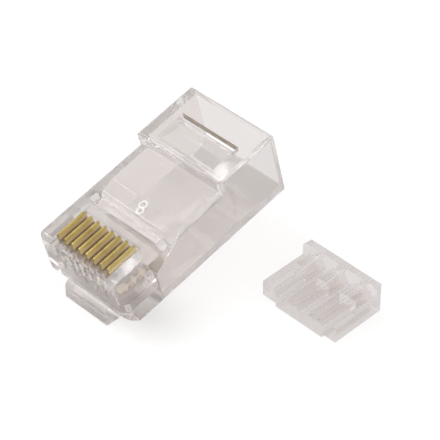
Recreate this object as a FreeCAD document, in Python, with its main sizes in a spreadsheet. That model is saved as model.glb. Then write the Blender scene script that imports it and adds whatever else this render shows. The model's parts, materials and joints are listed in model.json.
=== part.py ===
"""Two-piece 8P8C modular plug and its load bar.

The plug lies contacts up on its relaxed latch, nose low, and the load bar lies beside it.
Plug bodies are drawn in the plug's own frame: X across, Y from the nose to the cable end, Z from
the latch side to the contact side. One placement then leans the plug on its latch.
"""
import math
import os

import FreeCAD
import Part
import Sketcher

V = FreeCAD.Vector

# name, value in millimetres (degrees for angles), what it is
SIZES = [
    # housing
    ("body_width", 11.68, "housing across the side walls"),
    ("body_length", 22.25, "nose face to cable end"),
    ("body_height", 6.6, "latch side to contact side of the slim front part"),
    ("block_rise", 1.5, "rear block above the slim part"),
    ("block_start", 14.4, "nose face to the step of the rear block"),
    ("side_wall", 0.84, "side walls"),
    ("floor_wall", 0.6, "wall on the latch side"),
    ("roof_wall", 0.55, "roof over the cable space in the slim part"),
    ("block_wall", 0.8, "roof and step wall of the rear block"),
    ("nose_wall", 1.2, "solid nose in front of the conductor ways"),
    ("nose_corner", 0.75, "upright nose corners"),
    ("nose_lip", 0.55, "top front edge of the nose"),
    ("edge_round", 0.3, "long outer edges"),
    ("lead_in", 1.5, "chamfer under the nose"),
    ("mouth_lead", 0.35, "chamfer inside the cable mouth"),
    # conductor space
    ("chamber_end", 4.95, "nose face to the foot of the ramp"),
    ("ramp_end", 9.5, "nose face to the head of the ramp"),
    ("way_bore", 1.15, "one conductor way"),
    ("low_bore", 1.05, "one lower way in the load bar"),
    ("row_rise", 1.05, "upper row of conductors above the lower row"),
    # contacts
    ("contact_pitch", 1.02, "contact to contact"),
    ("contact_thick", 0.3, "contact blade"),
    ("contact_front", 0.85, "nose face to the blade"),
    ("contact_length", 3.75, "blade along the plug"),
    ("contact_proud", 0.4, "raised blade above the slim part"),
    ("contact_shoulder", 0.4, "blade foot narrower at each end"),
    ("contact_nose", 0.2, "rounded upper corners of the blade"),
    ("tine_depth", 0.75, "gaps between the piercing tines"),
    ("tine_gap", 0.42, "width of those gaps"),
    ("blade_fit", 0.05, "clearance round a blade"),
    ("crimp_stroke", 0.9, "travel of a blade when crimped"),
    ("comb_drop", 0.35, "comb ribs below the slim part's top"),
    ("comb_margin", 0.3, "comb recess past the outer blades"),
    ("rest_gap", 0.15, "raised tines above the conductors"),
    # conductor strain relief
    ("groove_front", 6.25, "nose face to the conductor groove"),
    ("groove_length", 1.25, "conductor groove along the plug"),
    ("groove_inset", 0.2, "groove ends inside the side walls"),
    ("groove_round", 0.3, "rolled rim of the conductor groove"),
    ("groove_corner", 0.4, "upright rear corners of the conductor groove"),
    ("clamp_height", 0.85, "conductor clamp bar"),
    ("clamp_sink", 1.0, "clamp bar below the slim part's top"),
    ("clamp_knuckle", 0.3, "round hinge edge of the clamp bar"),
    # jacket strain relief
    ("window_front", 15.3, "nose face to the jacket bar's window"),
    ("window_length", 3.75, "window along the plug"),
    ("window_width", 7.8, "window across the plug"),
    ("jaw_slot", 0.65, "open slot behind the jacket bar"),
    ("jaw_knuckle", 0.36, "round hinge edge of the jacket bar"),
    ("jaw_depth", 1.55, "jacket bar at its biting edge"),
    ("jaw_heel", 1.0, "jacket bar's free end face"),
    ("hinge_gap", 0.08, "running gap at the moulded hinges"),
    ("side_gap", 0.07, "gap beside a moulded bar"),
    # latch
    ("pivot_setback", 0.1, "nose face to the latch hinge"),
    ("pivot_rise", 0.6, "latch side to the latch hinge"),
    ("pivot_height", 1.55, "latch hinge above the latch's underside"),
    ("latch_angle", 13.6, "relaxed latch to the housing"),
    ("knuckle_radius", 0.7, "round root of the latch"),
    ("latch_width", 6.0, "latch at its root"),
    ("lever_width", 3.25, "latch lever"),
    ("latch_thick", 0.9, "root plate of the latch"),
    ("lever_thick", 0.85, "lever at its free end"),
    ("catch_at", 8.3, "latch hinge to the catch shoulders"),
    ("latch_length", 14.25, "latch hinge to the free end"),
    ("foot_relief", 0.12, "underside hollow between the two feet"),
    ("root_foot", 1.0, "front foot behind the hinge"),
    ("tip_foot", 1.1, "rear foot"),
    ("root_round", 0.35, "lower front corner of the root"),
    # load bar
    ("bar_fit", 0.1, "load bar to each side wall of the cable space"),
    ("bar_length", 6.5, "load bar along the conductors"),
    ("bar_height", 4.0, "load bar at its lobes"),
    ("ledge_height", 2.3, "front ledge"),
    ("ledge_length", 2.8, "front ledge along the conductors"),
    ("keel_height", 0.48, "keel under the bar"),
    ("keel_width", 6.2, "keel across the bar"),
    ("flange_thick", 0.8, "full-width rear flange"),
    ("lobe_width", 1.62, "lobe round one upper way"),
    ("flange_corner", 0.45, "sloped corner of the flange beside the first way"),
    ("bar_beside", 5.07, "housing wall to the load bar as they lie"),
    ("bar_forward", 13.2, "latch hinge to the load bar's front as they lie"),
    # working allowances
    ("overshoot", 1.0, "cutting shapes past the surface that they open"),
    ("bite", 0.1, "added shapes sunk into the form that they grow from"),
]
COUNTS = [("contact_count", 8, "contacts")]
UPPER_WAYS = (2, 5, 8)          # contacts whose conductors lie in the upper row

doc = FreeCAD.newDocument("ModularPlug")
sheet = doc.addObject("Spreadsheet::Sheet", "Sizes")
for row, (alias, value, what) in enumerate(SIZES + COUNTS, start=1):
    sheet.set("A%d" % row, what)
    sheet.set("B%d" % row, repr(value))
    sheet.setAlias("B%d" % row, alias)
doc.recompute()


def size(alias):
    """A driving size read back from the sheet."""
    return float(sheet.get(alias))


def bound(text):
    """An expression with each driving size looked up in the sheet."""
    for alias in sorted((a for a, _, _ in SIZES + COUNTS), key=len, reverse=True):
        text = text.replace("<%s>" % alias, "Sizes." + alias)
    return text


def figure(text):
    """The number that such an expression has now, to start a sketch near its solution."""
    return float(sheet.evalExpression(bound(text)))


def new_body(label):
    body = doc.addObject("PartDesign::Body", label)
    body.Label = label
    return body


def new_sketch(body, name, role, offset=None):
    """A sketch on one of the body's own origin planes."""
    sketch = body.newObject("Sketcher::SketchObject", name)
    plane = [f for f in body.Origin.OriginFeatures if f.Role == role][0]
    sketch.AttachmentSupport = [(plane, "")]
    sketch.MapMode = "FlatFace"
    if offset is not None:
        sketch.setExpression("AttachmentOffset.Base.z", bound(offset))
    return sketch


def pin(sketch, kind, geo, pos, expression):
    """Holds one coordinate of a point at an expression of the sheet."""
    index = sketch.addConstraint(Sketcher.Constraint(kind, -1, 1, geo, pos, figure(expression)))
    sketch.setExpression("Constraints[%d]" % index, bound(expression))


def outline(sketch, points):
    """A closed outline of straight edges through points given as expressions."""
    first = sketch.GeometryCount
    spots = [V(figure(px), figure(py), 0) for px, py in points]
    for a, b in zip(spots, spots[1:] + spots[:1]):
        sketch.addGeometry(Part.LineSegment(a, b), False)
    count = len(points)
    for i in range(count):
        sketch.addConstraint(
            Sketcher.Constraint("Coincident", first + i, 2, first + (i + 1) % count, 1))
    for i, (px, py) in enumerate(points):
        pin(sketch, "DistanceX", first + i, 1, px)
        pin(sketch, "DistanceY", first + i, 1, py)


def rectangle(sketch, x0, y0, x1, y1):
    outline(sketch, [(x0, y0), (x1, y0), (x1, y1), (x0, y1)])


def disc(sketch, px, py, radius):
    """A circle with its centre and radius given as expressions."""
    geo = sketch.addGeometry(
        Part.Circle(V(figure(px), figure(py), 0), V(0, 0, 1), figure(radius)), False)
    pin(sketch, "DistanceX", geo, 3, px)
    pin(sketch, "DistanceY", geo, 3, py)
    index = sketch.addConstraint(Sketcher.Constraint("Radius", geo, figure(radius)))
    sketch.setExpression("Constraints[%d]" % index, bound(radius))


def pad(body, name, sketch, length, symmetric=False, reverse=False):
    feature = body.newObject("PartDesign::Pad", name)
    feature.Profile = sketch
    feature.SideType = "Symmetric" if symmetric else "One side"
    feature.Reversed = reverse
    feature.setExpression("Length", bound(length))
    doc.recompute()
    return feature


def pocket(body, name, sketch, length, symmetric=False, reverse=False):
    """A cut, turned round if it points away from the solid."""
    before = body.Shape.Volume
    feature = body.newObject("PartDesign::Pocket", name)
    feature.Profile = sketch
    feature.SideType = "Symmetric" if symmetric else "One side"
    feature.Reversed = reverse
    feature.setExpression("Length", bound(length))
    doc.recompute()
    if body.Shape.Volume >= before - 1e-6:
        raise RuntimeError("%s cuts nothing" % name)
    return feature


def dress(body, kind, name, value, keep):
    """A fillet or chamfer on the edges of the tip that keep() picks."""
    tip = body.Tip
    edges = ["Edge%d" % (i + 1) for i, e in enumerate(tip.Shape.Edges) if keep(e)]
    if not edges:
        raise RuntimeError("%s finds no edge" % name)
    feature = body.newObject("PartDesign::" + kind, name)
    feature.Base = (tip, edges)
    feature.setExpression("Radius" if kind == "Fillet" else "Size", bound(value))
    doc.recompute()
    return feature


def ends(edge):
    return [v.Point for v in edge.Vertexes]


def along(edge, axis):
    """True for a straight edge parallel to an axis."""
    points = ends(edge)
    if len(points) != 2 or edge.Curve.TypeId != "Part::GeomLine":
        return False
    step = points[1] - points[0]
    return step.Length > 1e-6 and abs(abs(step.dot(axis)) / step.Length - 1) < 1e-6


def near(value, target, within=1e-4):
    return abs(value - target) < within


X, Y, Z = V(1, 0, 0), V(0, 1, 0), V(0, 0, 1)

# Derived heights, written once as expressions of the sheet.
HALF = "<body_width> / 2"
CAVITY = "(<body_width> / 2 - <side_wall>)"
ROOF = "(<body_height> - <roof_wall>)"
BLOCK_TOP = "(<body_height> + <block_rise>)"
BLOCK_ROOF = "(<body_height> + <block_rise> - <block_wall>)"
BAR_LOWER = "(<ledge_height> - <row_rise>)"
LOWER_ROW = "(<floor_wall> + %s)" % BAR_LOWER                     # in line with the load bar's ways
LOWER_TOP = "(%s + <way_bore> / 2)" % LOWER_ROW
UPPER_TOP = "(%s + <row_rise>)" % LOWER_TOP
BLADE_TOP = "(<body_height> + <contact_proud>)"
SEAT = "(%s + <rest_gap> + <tine_depth>)" % UPPER_TOP            # where a pressed blade's shoulder lands
SHOULDER = "(%s + <crimp_stroke> + <blade_fit>)" % SEAT
BLADE_END = "(<contact_front> + <contact_length>)"
JAW_AXIS_Y = "(<window_front> + <jaw_knuckle> + <hinge_gap>)"
JAW_AXIS_Z = "(%s + <block_wall> / 2)" % BLOCK_ROOF
JAW_END = "(<window_front> + <window_length> - <jaw_slot>)"
GROOVE_HALF = "(<body_width> / 2 - <side_wall> - <groove_inset>)"
CLAMP_AXIS_Y = "(<groove_front> + <clamp_knuckle> + <hinge_gap>)"
CLAMP_TOP = "(<body_height> - <clamp_sink>)"
CLAMP_AXIS_Z = "(%s - <clamp_knuckle>)" % CLAMP_TOP


def contact_x(number):
    """Across the plug to the middle of a contact, as an expression."""
    return "((%d - (<contact_count> + 1) / 2) * <contact_pitch>)" % number


def build_housing():
    body = new_body("housing")
    side = new_sketch(body, "housing_side", "YZ_Plane")
    outline(side, [
        ("<lead_in>", "0"), ("<body_length>", "0"), ("<body_length>", BLOCK_TOP),
        ("<block_start>", BLOCK_TOP), ("<block_start>", "<body_height>"),
        ("0", "<body_height>"), ("0", "<lead_in>")])
    pad(body, "housing_form", side, "<body_width>", symmetric=True)
    half = size("body_width") / 2
    top, block_top = size("body_height"), size("body_height") + size("block_rise")
    dress(body, "Fillet", "nose_corners", "<nose_corner>",
          lambda e: along(e, Z) and near(e.BoundBox.YMax, 0))
    dress(body, "Fillet", "nose_lip", "<nose_lip>",
          lambda e: near(e.BoundBox.YMin, 0) and near(e.BoundBox.ZMin, top)
          and near(e.BoundBox.ZMax, top) and e.BoundBox.XLength > half)
    dress(body, "Fillet", "long_edges", "<edge_round>",
          lambda e: (along(e, Y) and near(abs(e.BoundBox.XMin), half) and e.BoundBox.YLength > 1)
          or (along(e, X) and near(e.BoundBox.ZMax, block_top))
          or (along(e, Z) and near(e.BoundBox.YMin, size("body_length"))))

    cavity = new_sketch(body, "cable_space_side", "YZ_Plane")
    step = "(<block_start> + <block_wall>)"
    outline(cavity, [
        ("(<chamber_end> - <hinge_gap>)", "<floor_wall>"), ("(<body_length> + <overshoot>)", "<floor_wall>"),
        ("(<body_length> + <overshoot>)", BLOCK_ROOF), (step, BLOCK_ROOF), (step, ROOF), ("<ramp_end>", ROOF),
        ("<chamber_end>", UPPER_TOP), ("(<chamber_end> - <hinge_gap>)", UPPER_TOP)])
    pocket(body, "cable_space", cavity, "%s * 2" % CAVITY, symmetric=True)

    ways = new_sketch(body, "conductor_ways_front", "XZ_Plane", "-<nose_wall>")
    ledge = "%s - <way_bore> / 2" % CAVITY
    rectangle(ways, "-(%s)" % ledge, "%s - <way_bore> / 2" % LOWER_ROW, ledge, LOWER_TOP)
    pocket(body, "lower_ways", ways, "<chamber_end> - <nose_wall>")
    for number in UPPER_WAYS:
        upper = new_sketch(body, "upper_way_%d_front" % number, "XZ_Plane", "-<nose_wall>")
        middle = contact_x(number)
        rectangle(upper, "%s - <way_bore> / 2" % middle, LOWER_ROW,
                  "%s + <way_bore> / 2" % middle, UPPER_TOP)
        pocket(body, "upper_way_%d" % number, upper, "<chamber_end> - <nose_wall>")

    comb = new_sketch(body, "comb_recess_side", "YZ_Plane")
    rectangle(comb, "-<overshoot>", "<body_height> - <comb_drop>",
              "%s + <comb_margin>" % BLADE_END, "<body_height> + <overshoot>")
    pocket(body, "comb_recess", comb,
           "(<contact_count> - 1) * <contact_pitch> + <contact_thick> + 2 * <comb_margin>",
           symmetric=True)

    head = new_sketch(body, "blade_slot_head", "YZ_Plane", contact_x(1))
    rectangle(head, "-<overshoot>", SEAT, "%s + <blade_fit>" % BLADE_END,
              "<body_height> + <overshoot>")
    slot = pocket(body, "blade_slot", head, "<contact_thick> + 2 * <blade_fit>", symmetric=True)
    repeat(body, "blade_slots", slot)
    foot = new_sketch(body, "blade_slot_foot", "YZ_Plane", contact_x(1))
    rectangle(foot, "<contact_front> + <contact_shoulder> - <blade_fit>", LOWER_ROW,
              "%s - <contact_shoulder> + <blade_fit>" % BLADE_END, "%s + <edge_round>" % SEAT)
    well = pocket(body, "blade_well", foot, "<contact_thick> + 2 * <blade_fit>", symmetric=True)
    repeat(body, "blade_wells", well)

    groove = new_sketch(body, "conductor_groove_plan", "XY_Plane", "<body_height> + <overshoot>")
    rectangle(groove, "-%s" % GROOVE_HALF, "<groove_front>",
              GROOVE_HALF, "<groove_front> + <groove_length>")
    pocket(body, "conductor_groove", groove, "<body_height> - %s + <overshoot>" % UPPER_TOP)
    front, rear = size("groove_front"), size("groove_front") + size("groove_length")
    dress(body, "Fillet", "groove_corners", "<groove_corner>",
          lambda e: along(e, Z) and near(abs(e.BoundBox.XMin), figure(GROOVE_HALF))
          and near(e.BoundBox.YMin, rear) and near(e.BoundBox.ZMax, top))
    dress(body, "Fillet", "groove_rim", "<groove_round>",
          lambda e: near(e.BoundBox.ZMin, top) and near(e.BoundBox.ZMax, top)
          and front - 0.01 < e.BoundBox.YMin and e.BoundBox.YMax < rear + 0.01)

    window = new_sketch(body, "jacket_window_plan", "XY_Plane", "%s + <overshoot>" % BLOCK_TOP)
    rectangle(window, "-<window_width> / 2", "<window_front>",
              "<window_width> / 2", "<window_front> + <window_length>")
    pocket(body, "jacket_window", window, "<block_wall> + 2 * <overshoot>")

    seat = new_sketch(body, "latch_seat_side", "YZ_Plane")
    disc(seat, "<pivot_setback>", "<pivot_rise>", "<knuckle_radius> + <hinge_gap>")
    pocket(body, "latch_seat", seat, "<latch_width> + 2 * <side_gap>", symmetric=True)

    rear = size("body_length")
    inner = size("body_width") / 2 - size("side_wall")
    dress(body, "Chamfer", "mouth_lead_in", "<mouth_lead>",
          lambda e: near(e.BoundBox.YMin, rear) and near(e.BoundBox.YMax, rear)
          and abs(e.BoundBox.Center.x) < inner + 0.01
          and size("floor_wall") - 0.01 < e.BoundBox.Center.z < figure(BLOCK_ROOF) + 0.01)
    return body


def repeat(body, name, feature):
    """One copy of a cut for each contact."""
    pattern = body.newObject("PartDesign::LinearPattern", name)
    pattern.Originals = [feature]
    axis = [f for f in body.Origin.OriginFeatures if f.Role == "X_Axis"][0]
    pattern.Direction = (axis, [""])
    pattern.setExpression("Length", bound("(<contact_count> - 1) * <contact_pitch>"))
    pattern.setExpression("Occurrences", bound("<contact_count>"))
    before = body.Shape.Volume
    body.Tip = pattern
    doc.recompute()
    if body.Shape.Volume >= before - 1e-6:
        raise RuntimeError("%s adds no copy" % name)
    return pattern


def build_contact(number):
    """One raised blade: a shouldered head over a foot that ends in three piercing tines."""
    body = new_body("contact_%d" % number)
    row_top = UPPER_TOP if number in UPPER_WAYS else LOWER_TOP
    tip = "(%s + <rest_gap>)" % row_top
    root = "(%s + <tine_depth>)" % tip
    front, back = "<contact_front>", BLADE_END
    foot_front, foot_back = "(%s + <contact_shoulder>)" % front, "(%s - <contact_shoulder>)" % back
    pitch = "((%s - %s - 2 * <tine_gap>) / 3)" % (foot_back, foot_front)
    points = [(front, BLADE_TOP), (front, SHOULDER), (foot_front, SHOULDER), (foot_front, root)]
    for tine in range(3):
        start = "(%s + %d * (%s + <tine_gap>))" % (foot_front, tine, pitch)
        if tine:
            points.append((start, root))
        points.append(("(%s + %s / 2)" % (start, pitch), tip))
        if tine < 2:
            points.append(("(%s + %s)" % (start, pitch), root))
    points += [(foot_back, root), (foot_back, SHOULDER), (back, SHOULDER), (back, BLADE_TOP)]
    side = new_sketch(body, "contact_%d_side" % number, "YZ_Plane", contact_x(number))
    outline(side, points)
    pad(body, "contact_%d_blade" % number, side, "<contact_thick>", symmetric=True)
    dress(body, "Fillet", "contact_%d_corners" % number, "<contact_nose>",
          lambda e: along(e, X) and near(e.BoundBox.ZMax, figure(BLADE_TOP)))
    return body


def build_jaw():
    """The jacket strain relief: a wedge in the block's window, hinged at its front edge."""
    body = new_body("jacket_strain_relief_bar")
    side = new_sketch(body, "jaw_side", "YZ_Plane")
    top = "(%s + <jaw_knuckle>)" % JAW_AXIS_Z
    outline(side, [
        (JAW_AXIS_Y, top), (JAW_END, top), (JAW_END, "%s - <jaw_heel>" % top),
        ("%s - (<jaw_depth> - <jaw_heel>)" % JAW_END, "%s - <jaw_depth>" % top),
        (JAW_AXIS_Y, "(%s - <jaw_knuckle>)" % JAW_AXIS_Z)])
    across = "<window_width> - 2 * <side_gap>"
    pad(body, "jaw_wedge", side, across, symmetric=True)
    round_edge = new_sketch(body, "jaw_knuckle_side", "YZ_Plane")
    disc(round_edge, JAW_AXIS_Y, JAW_AXIS_Z, "<jaw_knuckle>")
    pad(body, "jaw_knuckle_pad", round_edge, across, symmetric=True)
    return body


def build_clamp():
    """The conductor strain relief: a bar low in the groove, hinged at its front edge."""
    body = new_body("conductor_strain_relief_bar")
    side = new_sketch(body, "clamp_side", "YZ_Plane")
    back = "(<groove_front> + <groove_length> - <side_gap>)"
    foot = "(%s - <clamp_height>)" % CLAMP_TOP
    outline(side, [
        (CLAMP_AXIS_Y, foot), (back, foot), (back, CLAMP_AXIS_Z),
        ("%s - <clamp_knuckle>" % back, CLAMP_TOP), (CLAMP_AXIS_Y, CLAMP_TOP)])
    across = "2 * (%s - <side_gap>)" % GROOVE_HALF
    pad(body, "clamp_bar", side, across, symmetric=True)
    round_edge = new_sketch(body, "clamp_knuckle_side", "YZ_Plane")
    disc(round_edge, CLAMP_AXIS_Y, CLAMP_AXIS_Z, "<clamp_knuckle>")
    pad(body, "clamp_knuckle_pad", round_edge, across, symmetric=True)
    dress(body, "Fillet", "clamp_corners", "<groove_corner>",
          lambda e: along(e, Z) and near(e.BoundBox.YMin, figure(back)))
    return body


def build_latch():
    """The spring latch, drawn with its underside level and its hinge over the origin."""
    body = new_body("latch")
    side = new_sketch(body, "latch_side", "YZ_Plane")
    outline(side, [
        ("-<knuckle_radius>", "<pivot_height>"), ("-<knuckle_radius>", "0"),
        ("<root_foot>", "0"), ("<root_foot> + <foot_relief> * 2", "<foot_relief>"),
        ("<latch_length> - <tip_foot> - <foot_relief> * 2", "<foot_relief>"),
        ("<latch_length> - <tip_foot>", "0"), ("<latch_length>", "0"),
        ("<latch_length>", "<lever_thick>"), ("<catch_at>", "<latch_thick>"),
        ("<knuckle_radius> * 1.3", "<latch_thick>"),
        ("<knuckle_radius> * 0.9", "<pivot_height>")])
    pad(body, "latch_plate", side, "<latch_width>", symmetric=True)
    root = new_sketch(body, "latch_knuckle_side", "YZ_Plane")
    disc(root, "0", "<pivot_height>", "<knuckle_radius>")
    pad(body, "latch_knuckle", root, "<latch_width>", symmetric=True)
    wide = "(<latch_width> / 2 + <overshoot>)"
    for name, sign in (("left", "-"), ("right", "")):
        plan = new_sketch(body, "latch_%s_plan" % name, "XY_Plane", "<pivot_height> + <overshoot>")
        outline(plan, [
            (sign + "<lever_width> / 2", "<catch_at>"), (sign + wide, "<catch_at>"),
            (sign + wide, "<latch_length> + <overshoot>"),
            (sign + "<lever_width> / 2", "<latch_length> + <overshoot>")])
        pocket(body, "latch_%s_relief" % name, plan, "<pivot_height> + 2 * <overshoot>")
    length = size("latch_length")
    dress(body, "Fillet", "latch_front_foot", "<root_round>",
          lambda e: along(e, X) and near(e.BoundBox.ZMax, 0)
          and near(e.BoundBox.YMax, -size("knuckle_radius")))
    dress(body, "Fillet", "latch_tip", "<root_round>",
          lambda e: along(e, X) and near(e.BoundBox.YMin, length))
    return body


def build_bar():
    """The load bar: a slotted ledge, a rear flange and three lobes round the upper ways."""
    body = new_body("load_bar")
    half = "(%s - <bar_fit>)" % CAVITY
    across = "2 * %s" % half
    side = new_sketch(body, "bar_side", "YZ_Plane")
    flange = "(<bar_length> - <flange_thick>)"
    outline(side, [
        ("0", "<keel_height>"), ("<bar_length>", "<keel_height>"), ("<bar_length>", "<bar_height>"),
        (flange, "<bar_height>"), (flange, "<ledge_height>"), ("0", "<ledge_height>")])
    pad(body, "bar_form", side, across, symmetric=True)
    keel = new_sketch(body, "bar_keel_plan", "XY_Plane")
    rectangle(keel, "-<keel_width> / 2", "0", "<keel_width> / 2", "<bar_length>")
    pad(body, "bar_keel", keel, "<keel_height> + <bite>")
    for number in UPPER_WAYS:
        lobe = new_sketch(body, "lobe_%d_front" % number, "XZ_Plane", "-<bar_length> + <bite>")
        middle = contact_x(number)
        edge = "(<lobe_width> / 2)"
        rectangle(lobe, "%s - %s" % (middle, edge), "<keel_height> + <bite>",
                  "%s + %s" % (middle, edge) if number < 8 else half, "<bar_height>")
        pad(body, "lobe_%d" % number, lobe, "<bar_length> - <ledge_length> - <bite>", reverse=False)
    dress(body, "Chamfer", "flange_slope", "<flange_corner>",
          lambda e: along(e, Y) and near(e.BoundBox.ZMin, size("bar_height"))
          and near(e.BoundBox.XMin, -figure(half)))
    dress(body, "Fillet", "lobe_crowns", "<lobe_width> / 4",
          lambda e: along(e, Y) and near(e.BoundBox.ZMin, size("bar_height"))
          and e.BoundBox.YMax < size("bar_length") - size("flange_thick") + 0.01
          and e.BoundBox.XMax < figure(half) - 0.01)
    for number in range(1, int(size("contact_count")) + 1):
        upper = number in UPPER_WAYS
        way = new_sketch(body, "bar_way_%d_front" % number, "XZ_Plane", "<overshoot>")
        disc(way, contact_x(number), "<ledge_height>" if upper else BAR_LOWER,
             "<way_bore> / 2" if upper else "<low_bore> / 2")
        pocket(body, "bar_way_%d" % number, way, "<bar_length> + 2 * <overshoot>")
    return body


print("housing"); housing = build_housing()
print("contacts"); contacts = [build_contact(n) for n in range(1, int(size("contact_count")) + 1)]
print("bars"); jaw = build_jaw(); clamp = build_clamp()
print("latch"); latch = build_latch()
print("load bar"); bar = build_bar()

# The plug leans on its latch: it turns about the latch hinge until the underside is level.
lean = FreeCAD.Rotation(X, size("latch_angle"))
hinge = V(0, size("pivot_setback"), size("pivot_rise"))
plug_place = FreeCAD.Placement(V(0, 0, size("pivot_height")) - lean.multVec(hinge), lean)
for piece in [housing, jaw, clamp] + contacts:
    piece.Placement = plug_place
bar_half = size("body_width") / 2 - size("side_wall") - size("bar_fit")
bar.Placement = FreeCAD.Placement(
    V(size("body_width") / 2 + size("bar_beside") + bar_half, size("bar_forward"), 0),
    FreeCAD.Rotation())
doc.recompute()

pieces = [housing, latch, jaw, clamp] + contacts + [bar]
for item in doc.Objects:
    if "Invalid" in item.State or "Error" in item.State:
        raise RuntimeError("%s failed" % item.Name)
for piece in pieces:
    if piece.Shape.isNull() or not piece.Shape.isValid() or len(piece.Shape.Solids) != 1:
        raise RuntimeError("%s is not one sound solid" % piece.Label)

# The origin is under the middle of everything, on the surface that it all stands on.
extent = FreeCAD.BoundBox()
for piece in pieces:
    extent.add(piece.Shape.optimalBoundingBox(False, False))
centre = V((extent.XMin + extent.XMax) / 2, (extent.YMin + extent.YMax) / 2, extent.ZMin)
for piece in pieces:
    piece.Placement = FreeCAD.Placement(piece.Placement.Base - centre, piece.Placement.Rotation)
doc.recompute()

os.makedirs("parts", exist_ok=True)
for piece in pieces:
    piece.Shape.exportStep("parts/%s.step" % piece.Label)
print("plug placement", plug_place.Base - centre, "lean", size("latch_angle"))
print("box", extent.XLength, extent.YLength, extent.ZLength)
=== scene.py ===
"""Looks of the clear modular plug and its load bar: moulded polycarbonate, gold blades, studio.

Lengths are metres in the row's frame. What is said to be in plug millimetres lies in the plug's
own frame: X across, Y from the nose to the cable end, Z from the latch's side to the contacts.
Colours are linear.
"""
import json
import math

import bpy
from mathutils import Matrix, Vector


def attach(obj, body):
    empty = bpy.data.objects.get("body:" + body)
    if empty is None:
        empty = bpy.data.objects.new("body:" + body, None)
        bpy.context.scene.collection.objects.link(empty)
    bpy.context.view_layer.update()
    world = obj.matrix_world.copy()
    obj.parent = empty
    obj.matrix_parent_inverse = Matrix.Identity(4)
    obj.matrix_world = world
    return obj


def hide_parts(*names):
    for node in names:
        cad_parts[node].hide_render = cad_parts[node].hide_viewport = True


MM = 0.001

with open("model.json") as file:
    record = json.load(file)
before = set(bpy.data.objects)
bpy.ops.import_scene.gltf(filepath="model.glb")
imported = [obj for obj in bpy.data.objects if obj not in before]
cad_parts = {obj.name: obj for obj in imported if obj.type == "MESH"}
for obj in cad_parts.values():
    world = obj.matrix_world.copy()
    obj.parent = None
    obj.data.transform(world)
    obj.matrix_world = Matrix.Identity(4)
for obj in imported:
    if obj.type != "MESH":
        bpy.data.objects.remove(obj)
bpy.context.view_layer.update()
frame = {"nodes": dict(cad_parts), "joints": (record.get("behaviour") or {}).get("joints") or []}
nodes = frame["nodes"]
joints = {joint["name"]: joint for joint in frame["joints"]}


# ---------------------------------------------------------------- the plug's own frame

def plug_frame():
    """The turn from the plug's frame to the row's, and the size of the housing, in metres."""
    _, forward, down = joints["contact_1_crimp"]["axis"]
    lean = math.atan2(forward, -down)
    turn = Matrix.Rotation(lean, 4, "X")
    flat = [turn.inverted() @ v.co for v in nodes["housing"].data.vertices]
    low = [min(p[i] for p in flat) for i in range(3)]
    high = [max(p[i] for p in flat) for i in range(3)]
    nose = Vector(((low[0] + high[0]) / 2, low[1], low[2]))
    return turn @ Matrix.Translation(nose), Vector(high) - Vector(low)


PLUG, PLUG_SIZE = plug_frame()
LEAN = PLUG.to_euler().x
HINGE = Vector(joints["latch_press"]["pos_m"])

# Places on the plug, in plug millimetres.
BLOCK_RISE = 1.5                              # rear block above the slim roof
SLIM_TOP = PLUG_SIZE.z / MM - BLOCK_RISE
GROOVE_FRONT = 6.25                           # front wall of the conductor groove
RAMP_HEAD = 9.5                               # end of the ramp that gathers the conductors
WINDOW_FRONT = 15.3                           # front wall of the jacket window
WINDOW_HALF = 3.9                             # half of the window's width
SLOT_WALL = 19.05                             # rear wall of the window, with a dark tint of painted shade
JAW_SLOT = 0.65                               # from the jacket bar's heel to that wall
AT_WALL = 0.05                                # a face this near to a wall's place is that wall
AT_FLOOR = 0.02                               # a face below this is the underside
UNDER_ROOF = SLIM_TOP - 0.1                   # faces below this lie inside the slim part
COMB_ALONG = (0.3, GROOVE_FRONT - 0.5)        # the room of the contact comb
COMB_HALF = 5
COMB_FOOT = 2.5

# The moulded figure 8, in plug millimetres: across, along and ring radius of its two rings.
EIGHT_RINGS = ((0.33, 8.88, 0.38), (0.61, 8.14, 0.34))
EIGHT_STROKE = 0.2
EIGHT_STRETCH = (1, 1.1, 1)
LIP_SIZE = (9.9, 0.2, 0.14)                   # step at the ramp's head
LIP_DEPTH = 0.6

# Making of the meshes: lengths in metres, angles in degrees.
MERGE = 0.002 * MM
FLAT_ANGLE = 0.4                              # faces that meet at less are one flat face
SHARP_ANGLE = 35                              # edges that turn by more are rounded
SMOOTH_ANGLE = 32                             # edges that turn by less shade round
FLAT_AREA = 0.4 * MM * MM                     # larger faces shade flat
ROUND_SEGMENTS = 2
BLADE_ROUND = 0.07 * MM
LIP_ROUND = 0.05 * MM
SHELL_ROUND = 0.08 * MM
RAMP_ROUND = 0.16 * MM
RAMP_SHARP_ANGLE = 12
BAR_ROUND = 0.09 * MM

# Edges to soften, in plug millimetres.
BEHIND_COMB = 5.2                             # shell: edges that reach behind this place
SHELL_EDGE = 1.2                              # and are longer than this
RAMP_ALONG = (9, 10)                          # ramp's head: edges in this stretch
RAMP_EDGE = 5                                 # that run across by more than this
BAR_EDGE = 0.9                                # load bar: edges longer than this

# Relief and noise of the finishes: a noise is its scale and detail, a depth is in metres.
FLOW_NOISE = (420, 2)
FLOW_DEPTH = 0.02 * MM
SCUFF_NOISE = (1800, 4)
HAZE_SPREAD = (0.5, 1.5)
DRIFT_NOISE = (900, 3)
GRAIN_NOISE = (9000, 3)
GRAIN_STRETCH = (1, 0.15, 1)
GRAIN_STRENGTH = 0.35
GRAIN_DEPTH = 0.004 * MM
CLEAR_SHADE = (0.945, 0.937, 0.934, 1)        # what one wall takes from the light behind it
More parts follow.
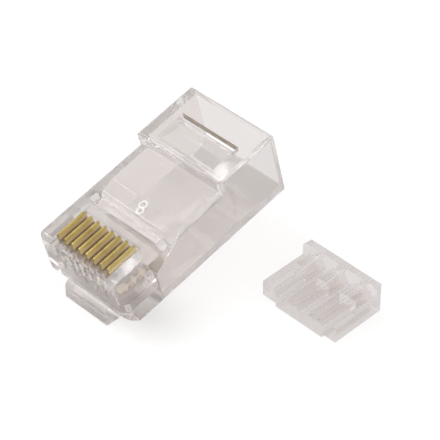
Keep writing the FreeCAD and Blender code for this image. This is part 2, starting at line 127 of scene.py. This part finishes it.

# Blades: darkest and lightest tone of the plated tops and flanks, the tops painted darker and the
# flanks lighter as painted light, and an unplated flank's colours from low to high along the span
# below, dark in the middle as painted shade in the comb's slots. The heights are in plug
# millimetres.
TOP_GOLD_PAINTED_DARKER = ((0.27, 0.2, 0.065, 1), (0.42, 0.325, 0.12, 1))
FLANK_GOLD_PAINTED_LIGHTER = ((0.58, 0.46, 0.17, 1), (0.8, 0.66, 0.28, 1))
DRIFT_STOPS = (0.3, 0.7)
# Unplated flank tone, with a dark band in the middle that is painted shade in the comb's slots.
UNPLATED_TONE_AND_SLOT_SHADE = (
    (0, (0.86, 0.79, 0.68, 1)),
    (0.35, (0.27, 0.185, 0.07, 1)),
    (0.7, (0.27, 0.185, 0.07, 1)),
    (1, (0.9, 0.73, 0.45, 1)),
)
UNPLATED_AND_SLOT_SHADE_SPAN = (SLIM_TOP - 1.1, SLIM_TOP - 0.2)
BARE_ENDS = (SLIM_TOP + 0.1, SLIM_TOP + 0.04)         # from plated to bare
OPEN_AIR = (SLIM_TOP - 0.6, SLIM_TOP - 0.35)          # from the comb to open air
FLANK_TURN = (0.75, 0.95)                             # how far a normal points across
BLADE_ROUGHNESS = (0.25, 0.5)
FLANK_METAL = (1, 0.3)                                # in the comb, and satin in open air

# Studio, in metres and watts.
CARD_TONE = (0.6, 0.6, 0.6, 1)
CARD_SEEN = 0.37                              # glow of the card to the camera
CARD_MIRRORED = 0.16                          # and in what mirrors or bends the light
AIR_COLOUR = (1, 0.995, 0.99, 1)
AIR_LIGHT = 0.5
AIR_MIRRORED = 0.72
CARD_RADIUS = 0.9
CARD_DROP = 0.02 * MM
THROUGH_WALLS = 48                            # clear walls that one ray may pass
LAMPS = (                                     # name, place, watts, width
    ("key_lamp", (-0.27, -0.16, 0.47), 1.9, 0.33),
    ("fill_lamp", (0.35, -0.15, 0.3), 0.9, 0.4),
)
GLINTS = (                                    # name, spot in plug millimetres, width, length, watts
    ("nose_glint", (4.6, 2.8, SLIM_TOP), 0.005, 0.014, 0.0035),
    ("block_glint", (4.9, 15.6, SLIM_TOP + BLOCK_RISE), 0.006, 0.006, 0.002),
)
GLINT_REACH = 0.5                             # from the spot to its lamp

# Camera: where it looks from, in degrees and metres, and what it looks at, in millimetres
# from the latch's hinge and then across the view.
AZIMUTH, ELEVATION = 45.13, 40.55
DISTANCE = 208.2 * MM
AIM = (7.38, 10.09, 2.36)
AIM_RIGHT, AIM_UP = 0.43, 4.59
LENS, SENSOR = 172.7, 36
NEAR_END = 0.01


# ---------------------------------------------------------------- modelling helpers

def only(piece):
    """Leaves one piece selected and active."""
    bpy.ops.object.select_all(action="DESELECT")
    piece.select_set(True)
    bpy.context.view_layer.objects.active = piece


def in_edit(piece, *steps):
    """Runs edit mode operators on the whole of a piece."""
    only(piece)
    bpy.ops.object.mode_set(mode="EDIT")
    bpy.ops.mesh.select_all(action="SELECT")
    for step in steps:
        step()
    bpy.ops.object.mode_set(mode="OBJECT")


def moulded_copy(node, name):
    """A merged copy of a node, with its flat faces whole again."""
    piece = bpy.data.objects.new(name, nodes[node].data.copy())
    bpy.context.scene.collection.objects.link(piece)
    in_edit(
        piece,
        lambda: bpy.ops.mesh.remove_doubles(threshold=MERGE),
        lambda: bpy.ops.mesh.customdata_custom_splitnormals_clear(),
        lambda: bpy.ops.mesh.dissolve_limited(angle_limit=math.radians(FLAT_ANGLE)),
    )
    return piece


def round_edges(piece, width):
    """Rounds all sharp edges of a piece by a real moulding radius."""
    only(piece)
    bpy.ops.object.modifier_add(type="BEVEL")
    bevel = piece.modifiers[-1]
    bevel.width = width
    bevel.segments = ROUND_SEGMENTS
    bevel.limit_method = "ANGLE"
    bevel.angle_limit = math.radians(SHARP_ANGLE)
    bevel.use_clamp_overlap = True
    bpy.ops.object.modifier_apply(modifier=bevel.name)


def soften(piece, width, keep, sharp=SHARP_ANGLE):
    """Rounds the sharp edges that keep() picks by their two ends, in plug millimetres."""
    to_plug = PLUG.inverted()
    only(piece)
    bpy.ops.object.mode_set(mode="EDIT")
    bpy.ops.mesh.select_mode(type="EDGE")
    bpy.ops.mesh.select_all(action="DESELECT")
    bpy.ops.mesh.edges_select_sharp(sharpness=math.radians(sharp))
    bpy.ops.object.mode_set(mode="OBJECT")
    spots = [(to_plug @ v.co) / MM for v in piece.data.vertices]
    for edge in piece.data.edges:
        edge.select = edge.select and keep(*(spots[i] for i in edge.vertices))
    bpy.ops.object.mode_set(mode="EDIT")
    bpy.ops.mesh.bevel(offset=width, segments=ROUND_SEGMENTS, affect="EDGES",
                       clamp_overlap=True)
    bpy.ops.object.mode_set(mode="OBJECT")


def smooth(piece):
    """Round stretches shade round, and large faces stay flat."""
    only(piece)
    bpy.ops.object.shade_smooth_by_angle(angle=math.radians(SMOOTH_ANGLE))
    for face in piece.data.polygons:
        if face.area > FLAT_AREA:
            face.use_smooth = False


def finish_piece(piece, body, material, slot, *replaced):
    """Gives a piece its material and body, and hides the nodes that it stands for; the slot is not
    used.
    """
    piece.data.materials.clear()
    piece.data.materials.append(material)
    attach(piece, body)
    if replaced:
        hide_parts(*replaced)


def part_finish(piece, finish, keep):
    """Gives the faces that keep() picks, by their middle in plug millimetres, their own finish."""
    to_plug = PLUG.inverted()
    piece.data.materials.append(finish)
    for face in piece.data.polygons:
        if keep(to_plug @ face.center / MM):
            face.material_index = len(piece.data.materials) - 1


# ---------------------------------------------------------------- finishes

class Look:
    """The shader of one finish, or of the studio's air, built up node by node.

    What goes into a node is a value, or what comes out of another node.
    """

    def __init__(self, owner):
        owner.use_nodes = True
        self.nodes, self.links = owner.node_tree.nodes, owner.node_tree.links
        self.nodes.clear()

    def add(self, kind, inputs=None, **settings):
        """Adds a node, with its settings first and then its inputs."""
        node = self.nodes.new("ShaderNode" + kind)
        for name, value in settings.items():
            setattr(node, name, value)
        for name, value in (inputs or {}).items():
            if isinstance(value, bpy.types.NodeSocket):
                self.links.new(value, node.inputs[name])
            else:
                node.inputs[name].default_value = value
        return node

    def math(self, operation, *values):
        return self.add("Math", dict(enumerate(values)), operation=operation).outputs["Value"]

    def ranged(self, value, start=(0, 1), end=(0, 1)):
        """Maps a value from one range to another, and holds it there."""
        return self.add("MapRange", {
            "Value": value, "From Min": start[0], "From Max": start[1],
            "To Min": end[0], "To Max": end[1]}).outputs["Result"]

    def noise(self, place, scale, detail):
        return self.add("TexNoise", {
            "Vector": place, "Scale": scale, "Detail": detail}).outputs["Fac"]

    def bump(self, height, strength, distance):
        return self.add("Bump", {
            "Height": height, "Strength": strength, "Distance": distance}).outputs["Normal"]

    def ramp(self, factor, first, *stops):
        """Colours along a factor, each stop a position and a colour."""
        ramp = self.add("ValToRGB", {"Fac": factor})
        elements = ramp.color_ramp.elements
        for element, stop in ((elements[0], first), (elements[1], stops[-1])):
            element.position, element.color = stop
        for position, colour in stops[:-1]:
            elements.new(position).color = colour
        return ramp.outputs["Color"]

    def mix_colours(self, factor, first, second):
        return self.add("Mix", {"Factor": factor, "A": first, "B": second},
                        data_type="RGBA").outputs["Result"]

    def mix_shaders(self, factor, first, second):
        return self.add("MixShader", {"Fac": factor, 1: first, 2: second}).outputs["Shader"]

    def mirrored(self, path):
        """Whether a ray comes by way of a mirroring or bending face."""
        return self.math("MAXIMUM", path["Is Glossy Ray"], path["Is Transmission Ray"])


def clear_plastic(name, tint, ripple, haze, clarity=0.9, bend=1.35, layers=3.5):
    """Clear moulded polycarbonate: tinted through its depth, faint flow ripple, fine haze.

    Light bends at the first layers only, and passes straight through what lies behind them.
    The bend is an effect for the look. To shadow rays and diffuse rays a wall is a faint tint.
    """
    material = bpy.data.materials.new(name)
    look = Look(material)
    place = look.add("TexCoord").outputs["Object"]
    path = look.add("LightPath").outputs
    plastic = look.add("BsdfPrincipled", {
        "Base Color": (*tint, 1),
        "IOR": bend,
        "Transmission Weight": clarity,
        "Roughness": look.ranged(look.noise(place, *SCUFF_NOISE),
                                 end=[haze * share for share in HAZE_SPREAD]),
        "Normal": look.bump(look.noise(place, *FLOW_NOISE), ripple, FLOW_DEPTH),
    }).outputs["BSDF"]
    inner = look.add("BsdfTransparent", {"Color": (*(math.sqrt(c) for c in tint), 1)})
    shade = look.add("BsdfTransparent", {"Color": CLEAR_SHADE})
    deep = look.math("GREATER_THAN", path["Ray Depth"], layers)
    lets_light = look.math("MAXIMUM", path["Is Shadow Ray"], path["Is Diffuse Ray"])
    body = look.mix_shaders(deep, plastic, inner.outputs["BSDF"])
    look.add("OutputMaterial", {
        "Surface": look.mix_shaders(lets_light, body, shade.outputs["BSDF"])})
    return material


def gold_plate():
    """Gold flash over stamped copper alloy, with a small drift of colour and a fine grain.

    The flanks are painted lighter and the tops darker, as painted light that evens out how the
    lamps fall on them. Below the roof the flanks are sheared and unplated, with a dark band of
    painted shade in the comb's slots, and where they stand in open air they are satin.
    """
    material = bpy.data.materials.new("gold_plate")
    look = Look(material)
    place = look.add("TexCoord").outputs["Object"]
    in_plug = look.add("Mapping", {
        "Vector": place, "Location": PLUG.translation, "Rotation": (LEAN, 0, 0),
    }, vector_type="TEXTURE").outputs["Vector"]
    height = look.add("SeparateXYZ", {"Vector": in_plug}).outputs["Z"]
    normal = look.add("NewGeometry").outputs["Normal"]
    across = look.add("SeparateXYZ", {"Vector": normal}).outputs["X"]

    def by_height(span):
        return look.ranged(height, [end * MM for end in span])

    flank = look.ranged(look.math("ABSOLUTE", across), FLANK_TURN)
    # Where the unplated flank tone, with its painted slot shade, takes over from the plating.
    unplated_and_shaded_flank = look.math("MULTIPLY", flank, by_height(BARE_ENDS))
    open_flank = look.math("MULTIPLY", flank, by_height(OPEN_AIR))

    drift = look.noise(place, *DRIFT_NOISE)
    top_gold_painted_darker, flank_gold_painted_lighter = (
        look.ramp(drift, *zip(DRIFT_STOPS, tones)) for tones in (TOP_GOLD_PAINTED_DARKER, FLANK_GOLD_PAINTED_LIGHTER))
    # Unplated flank tone, darkest in the middle of its span as painted shade in the comb's slots.
    unplated_tone_and_slot_shade = look.ramp(by_height(UNPLATED_AND_SLOT_SHADE_SPAN), *UNPLATED_TONE_AND_SLOT_SHADE)
    # Tops painted darker and flanks lighter: painted light, not a difference in the plating.
    plating_with_painted_light = look.mix_colours(flank, top_gold_painted_darker, flank_gold_painted_lighter)

    along = look.add("Mapping", {"Vector": place, "Scale": GRAIN_STRETCH}).outputs["Vector"]
    grain = look.noise(along, *GRAIN_NOISE)
    metal = look.add("BsdfPrincipled", {
        "Metallic": look.ranged(open_flank, end=FLANK_METAL),
        "Base Color": look.mix_colours(unplated_and_shaded_flank, plating_with_painted_light, unplated_tone_and_slot_shade),
        "Roughness": look.ranged(grain, end=BLADE_ROUGHNESS),
        "Normal": look.bump(grain, GRAIN_STRENGTH, GRAIN_DEPTH),
    })
    look.add("OutputMaterial", {"Surface": metal.outputs["BSDF"]})
    return material


def white_card():
    """Matt card that keeps the soft shadow, and glows a little to the camera and in mirrors."""
    material = bpy.data.materials.new("white_card")
    look = Look(material)
    path = look.add("LightPath").outputs
    seen = look.math("MULTIPLY", path["Is Camera Ray"], CARD_SEEN)
    around = look.math("MULTIPLY", look.mirrored(path), CARD_MIRRORED)
    card = look.add("BsdfDiffuse", {"Color": CARD_TONE})
    glow = look.add("Emission", {
        "Color": (1, 1, 1, 1), "Strength": look.math("MAXIMUM", seen, around)})
    both = look.add("AddShader", {0: card.outputs["BSDF"], 1: glow.outputs["Emission"]})
    look.add("OutputMaterial", {"Surface": both.outputs["Shader"]})
    return material


# ---------------------------------------------------------------- pieces

def dress_contacts(metal):
    for number in range(1, 9):
        blade = moulded_copy("contact_%d" % number, "gold_blade_%d" % number)
        round_edges(blade, BLADE_ROUND)
        smooth(blade)
        finish_piece(blade, "contact_%d" % number, metal, "contacts", "contact_%d" % number)


def moulded_eight(plastic):
    """Two flattened rings, sunk into the slim roof, make the moulded figure."""
    rings = []
    for across, along, radius in EIGHT_RINGS:
        bpy.ops.object.select_all(action="DESELECT")
        bpy.ops.mesh.primitive_torus_add(
            major_segments=40, minor_segments=12,
            major_radius=radius * MM, minor_radius=EIGHT_STROKE / 2 * MM,
            location=PLUG @ (Vector((across, along, SLIM_TOP)) * MM), rotation=(LEAN, 0, 0))
        ring = bpy.context.object
        ring.scale = EIGHT_STRETCH
        bpy.ops.object.transform_apply(location=True, rotation=True, scale=True)
        rings.append(ring)
    figure, other = rings
    only(figure)
    bpy.ops.object.modifier_add(type="BOOLEAN")
    join = figure.modifiers[-1]
    join.operation = "UNION"
    join.solver = "EXACT"
    join.object = other
    bpy.ops.object.modifier_apply(modifier=join.name)
    bpy.data.objects.remove(other)
    figure.name = "moulded_eight"
    smooth(figure)
    finish_piece(figure, "plug_body", plastic, "clear_housing")


def ramp_lip(plastic):
    """The fine step across the cable space's ceiling, at the head of the conductor ramp."""
    bpy.ops.object.select_all(action="DESELECT")
    bpy.ops.mesh.primitive_cube_add(size=1)
    lip = bpy.context.object
    lip.name = "ramp_lip"
    lip.scale = [side * MM for side in LIP_SIZE]
    lip.location = PLUG @ (Vector((0, RAMP_HEAD, SLIM_TOP - LIP_DEPTH)) * MM)
    lip.rotation_euler = (LEAN, 0, 0)
    bpy.ops.object.transform_apply(location=True, rotation=True, scale=True)
    round_edges(lip, LIP_ROUND)
    smooth(lip)
    finish_piece(lip, "plug_body", plastic, "clear_housing")


# Faces with a finish of their own, some of it painted shade, picked by their middle in plug
# millimetres.

def on_jaw_heel(at):
    return abs(at.y - SLOT_WALL + JAW_SLOT) < AT_WALL and at.z > SLIM_TOP


def on_slot_wall(at):
    return abs(at.y - SLOT_WALL) < AT_WALL and abs(at.x) < WINDOW_HALF and at.z > SLIM_TOP


def on_underside(at):
    return at.z < AT_FLOOR


def in_comb(at):
    return (COMB_ALONG[0] < at.y < COMB_ALONG[1] and abs(at.x) < COMB_HALF
            and COMB_FOOT < at.z < UNDER_ROOF)


def on_recess_wall(at):
    """The groove's front wall, and the jacket window's front and side walls."""
    if abs(at.y - GROOVE_FRONT) < AT_WALL and at.z < UNDER_ROOF:
        return True
    return (at.z > SLIM_TOP and WINDOW_FRONT - AT_WALL < at.y < SLOT_WALL
            and (abs(abs(at.x) - WINDOW_HALF) < AT_WALL or at.y < WINDOW_FRONT + AT_WALL))


# Edges to soften, picked by their two ends in plug millimetres.

def long_shell_edge(a, b):
    return max(a.y, b.y) > BEHIND_COMB and (a - b).length > SHELL_EDGE


def ramp_head_edge(a, b):
    return abs(a.x - b.x) > RAMP_EDGE and RAMP_ALONG[0] < a.y < RAMP_ALONG[1]


def long_bar_edge(a, b):
    return (a - b).length > BAR_EDGE


def dress_mouldings(clear):
    for node, name, body, width, finish in (      # width of the rounding in millimetres
        ("latch", "clear_latch", "latch", 0.1, "latch"),
        ("jacket_strain_relief_bar", "clear_jacket_bar", "jacket_bar", 0.03, "comb"),
        ("conductor_strain_relief_bar", "clear_conductor_bar", "conductor_bar", 0.05, "housing"),
    ):
        piece = moulded_copy(node, name)
        round_edges(piece, width * MM)
        smooth(piece)
        finish_piece(piece, body, clear[finish], "clear_housing", node)
        if node == "jacket_strain_relief_bar":
            # The heel gets the dark tint of painted shade.
            part_finish(piece, clear["underside"], on_jaw_heel)

    shell = moulded_copy("housing", "clear_housing_shell")
    soften(shell, SHELL_ROUND, long_shell_edge)
    soften(shell, RAMP_ROUND, ramp_head_edge, sharp=RAMP_SHARP_ANGLE)
    smooth(shell)
    finish_piece(shell, "plug_body", clear["housing"], "clear_housing", "housing")
    # The slot wall gets a dark brown tint of painted shade.
    part_finish(shell, clear["slot"], on_slot_wall)
    # The underside gets the dark tint of painted shade, for the shade under the plug.
    part_finish(shell, clear["underside"], on_underside)
    part_finish(shell, clear["comb"], in_comb)
    part_finish(shell, clear["recess"], on_recess_wall)

    bar = moulded_copy("load_bar", "clear_load_bar")
    soften(bar, BAR_ROUND, long_bar_edge)
    smooth(bar)
    finish_piece(bar, "plug_body", clear["load_bar"], "load_bar_clear", "load_bar")


# ---------------------------------------------------------------- studio

def area_lamp(name, place, back, energy, width, length=None):
    """A square or oblong lamp that shines away from where its back points."""
    data = bpy.data.lights.new(name, "AREA")
    data.energy = energy
    data.size = width
    if length is not None:
        data.shape = "RECTANGLE"
        data.size_y = length
    lamp = bpy.data.objects.new(name, data)
    lamp.location = place
    lamp.rotation_euler = back.to_track_quat("Z", "Y").to_euler()
    bpy.context.scene.collection.objects.link(lamp)


def studio():
    """A wide card under a plain room, with a soft key lamp and a fill lamp."""
    scene = bpy.context.scene
    scene.view_settings.view_transform = "Standard"
    scene.cycles.transparent_max_bounces = THROUGH_WALLS
    bpy.ops.object.select_all(action="DESELECT")
    bpy.ops.mesh.primitive_circle_add(
        vertices=64, radius=CARD_RADIUS, fill_type="NGON", location=(0, 0, -CARD_DROP))
    floor = bpy.context.object
    floor.name = "studio_floor"
    floor.data.materials.append(white_card())

    world = bpy.data.worlds.new("studio_air")
    scene.world = world
    look = Look(world)
    path = look.add("LightPath").outputs
    around = look.ranged(look.mirrored(path), end=(AIR_LIGHT, AIR_MIRRORED))
    air = look.add("Background", {
        "Color": AIR_COLOUR, "Strength": look.math("MAXIMUM", path["Is Camera Ray"], around)})
    look.add("OutputWorld", {"Surface": air.outputs["Background"]})

    for name, place, energy, width in LAMPS:
        area_lamp(name, place, Vector(place), energy, width)


def camera():
    """Sets the camera and gives its place."""
    azimuth, elevation = math.radians(AZIMUTH), math.radians(ELEVATION)
    right = Vector((math.cos(azimuth), math.sin(azimuth), 0))
    back = Vector((math.sin(azimuth) * math.cos(elevation),
                   -math.cos(azimuth) * math.cos(elevation), math.sin(elevation)))
    up = back.cross(right)
    aim = HINGE + Vector(AIM) * MM + right * AIM_RIGHT * MM + up * AIM_UP * MM
    eye = aim + back * DISTANCE
    data = bpy.data.cameras.new("studio_camera")
    data.lens = LENS
    data.sensor_width = SENSOR
    data.clip_start = NEAR_END
    view = bpy.data.objects.new("studio_camera", data)
    view.matrix_world = Matrix((
        (right.x, up.x, back.x, eye.x),
        (right.y, up.y, back.y, eye.y),
        (right.z, up.z, back.z, eye.z),
        (0, 0, 0, 1)))
    bpy.context.scene.collection.objects.link(view)
    bpy.context.scene.camera = view
    return eye


def glint_lamp(name, eye, spot, width, length, energy):
    """A small lamp whose mirror image lies on a level stretch of the plug, seen from the eye."""
    place = PLUG @ (Vector(spot) * MM)
    level = (PLUG.to_3x3() @ Vector((0, 0, 1))).normalized()
    to_eye = (eye - place).normalized()
    to_lamp = 2 * to_eye.dot(level) * level - to_eye
    area_lamp(name, place + to_lamp * GLINT_REACH, to_lamp, energy, width, length)


# ---------------------------------------------------------------- the whole

CLEAR = {
    "housing": clear_plastic(
        "clear_polycarbonate", (0.92, 0.885, 0.872), ripple=0.15, haze=0.05),
    "latch": clear_plastic(
        "clear_latch_polycarbonate", (0.86, 0.825, 0.81), ripple=0.15, haze=0.18),
    "load_bar": clear_plastic(
        "clear_bar_polycarbonate", (0.93, 0.9, 0.89), ripple=0.02, haze=0.0,
        clarity=1, bend=1.14, layers=2.5),
    "comb": clear_plastic(
        "clear_comb_walls", (0.92, 0.89, 0.88), ripple=0.1, haze=0.05, bend=1.12),
    "recess": clear_plastic(
        "clear_recess_walls", (0.92, 0.89, 0.88), ripple=0.1, haze=0.05, bend=1.03),
    # Painted shade: a dark tint for the plug's underside and the jacket bar's heel.
    "underside": clear_plastic(
        "painted_shade_plastic", (0.42, 0.395, 0.38), ripple=0.15, haze=0.05),
    # The window's rear wall: frosted, with a dark brown tint of painted shade in the slot.
    "slot": clear_plastic(
        "painted_shade_slot_wall", (0.42, 0.33, 0.27), ripple=0.3, haze=0.4, clarity=0.4),
    "figure": clear_plastic(
        "frosted_figure", (0.95, 0.94, 0.935), ripple=0.15, haze=0.35, clarity=0.35),
}
dress_contacts(gold_plate())
dress_mouldings(CLEAR)
moulded_eight(CLEAR["figure"])
ramp_lip(CLEAR["housing"])
studio()
eye = camera()
for name, spot, width, length, energy in GLINTS:
    glint_lamp(name, eye, spot, width, length, energy)
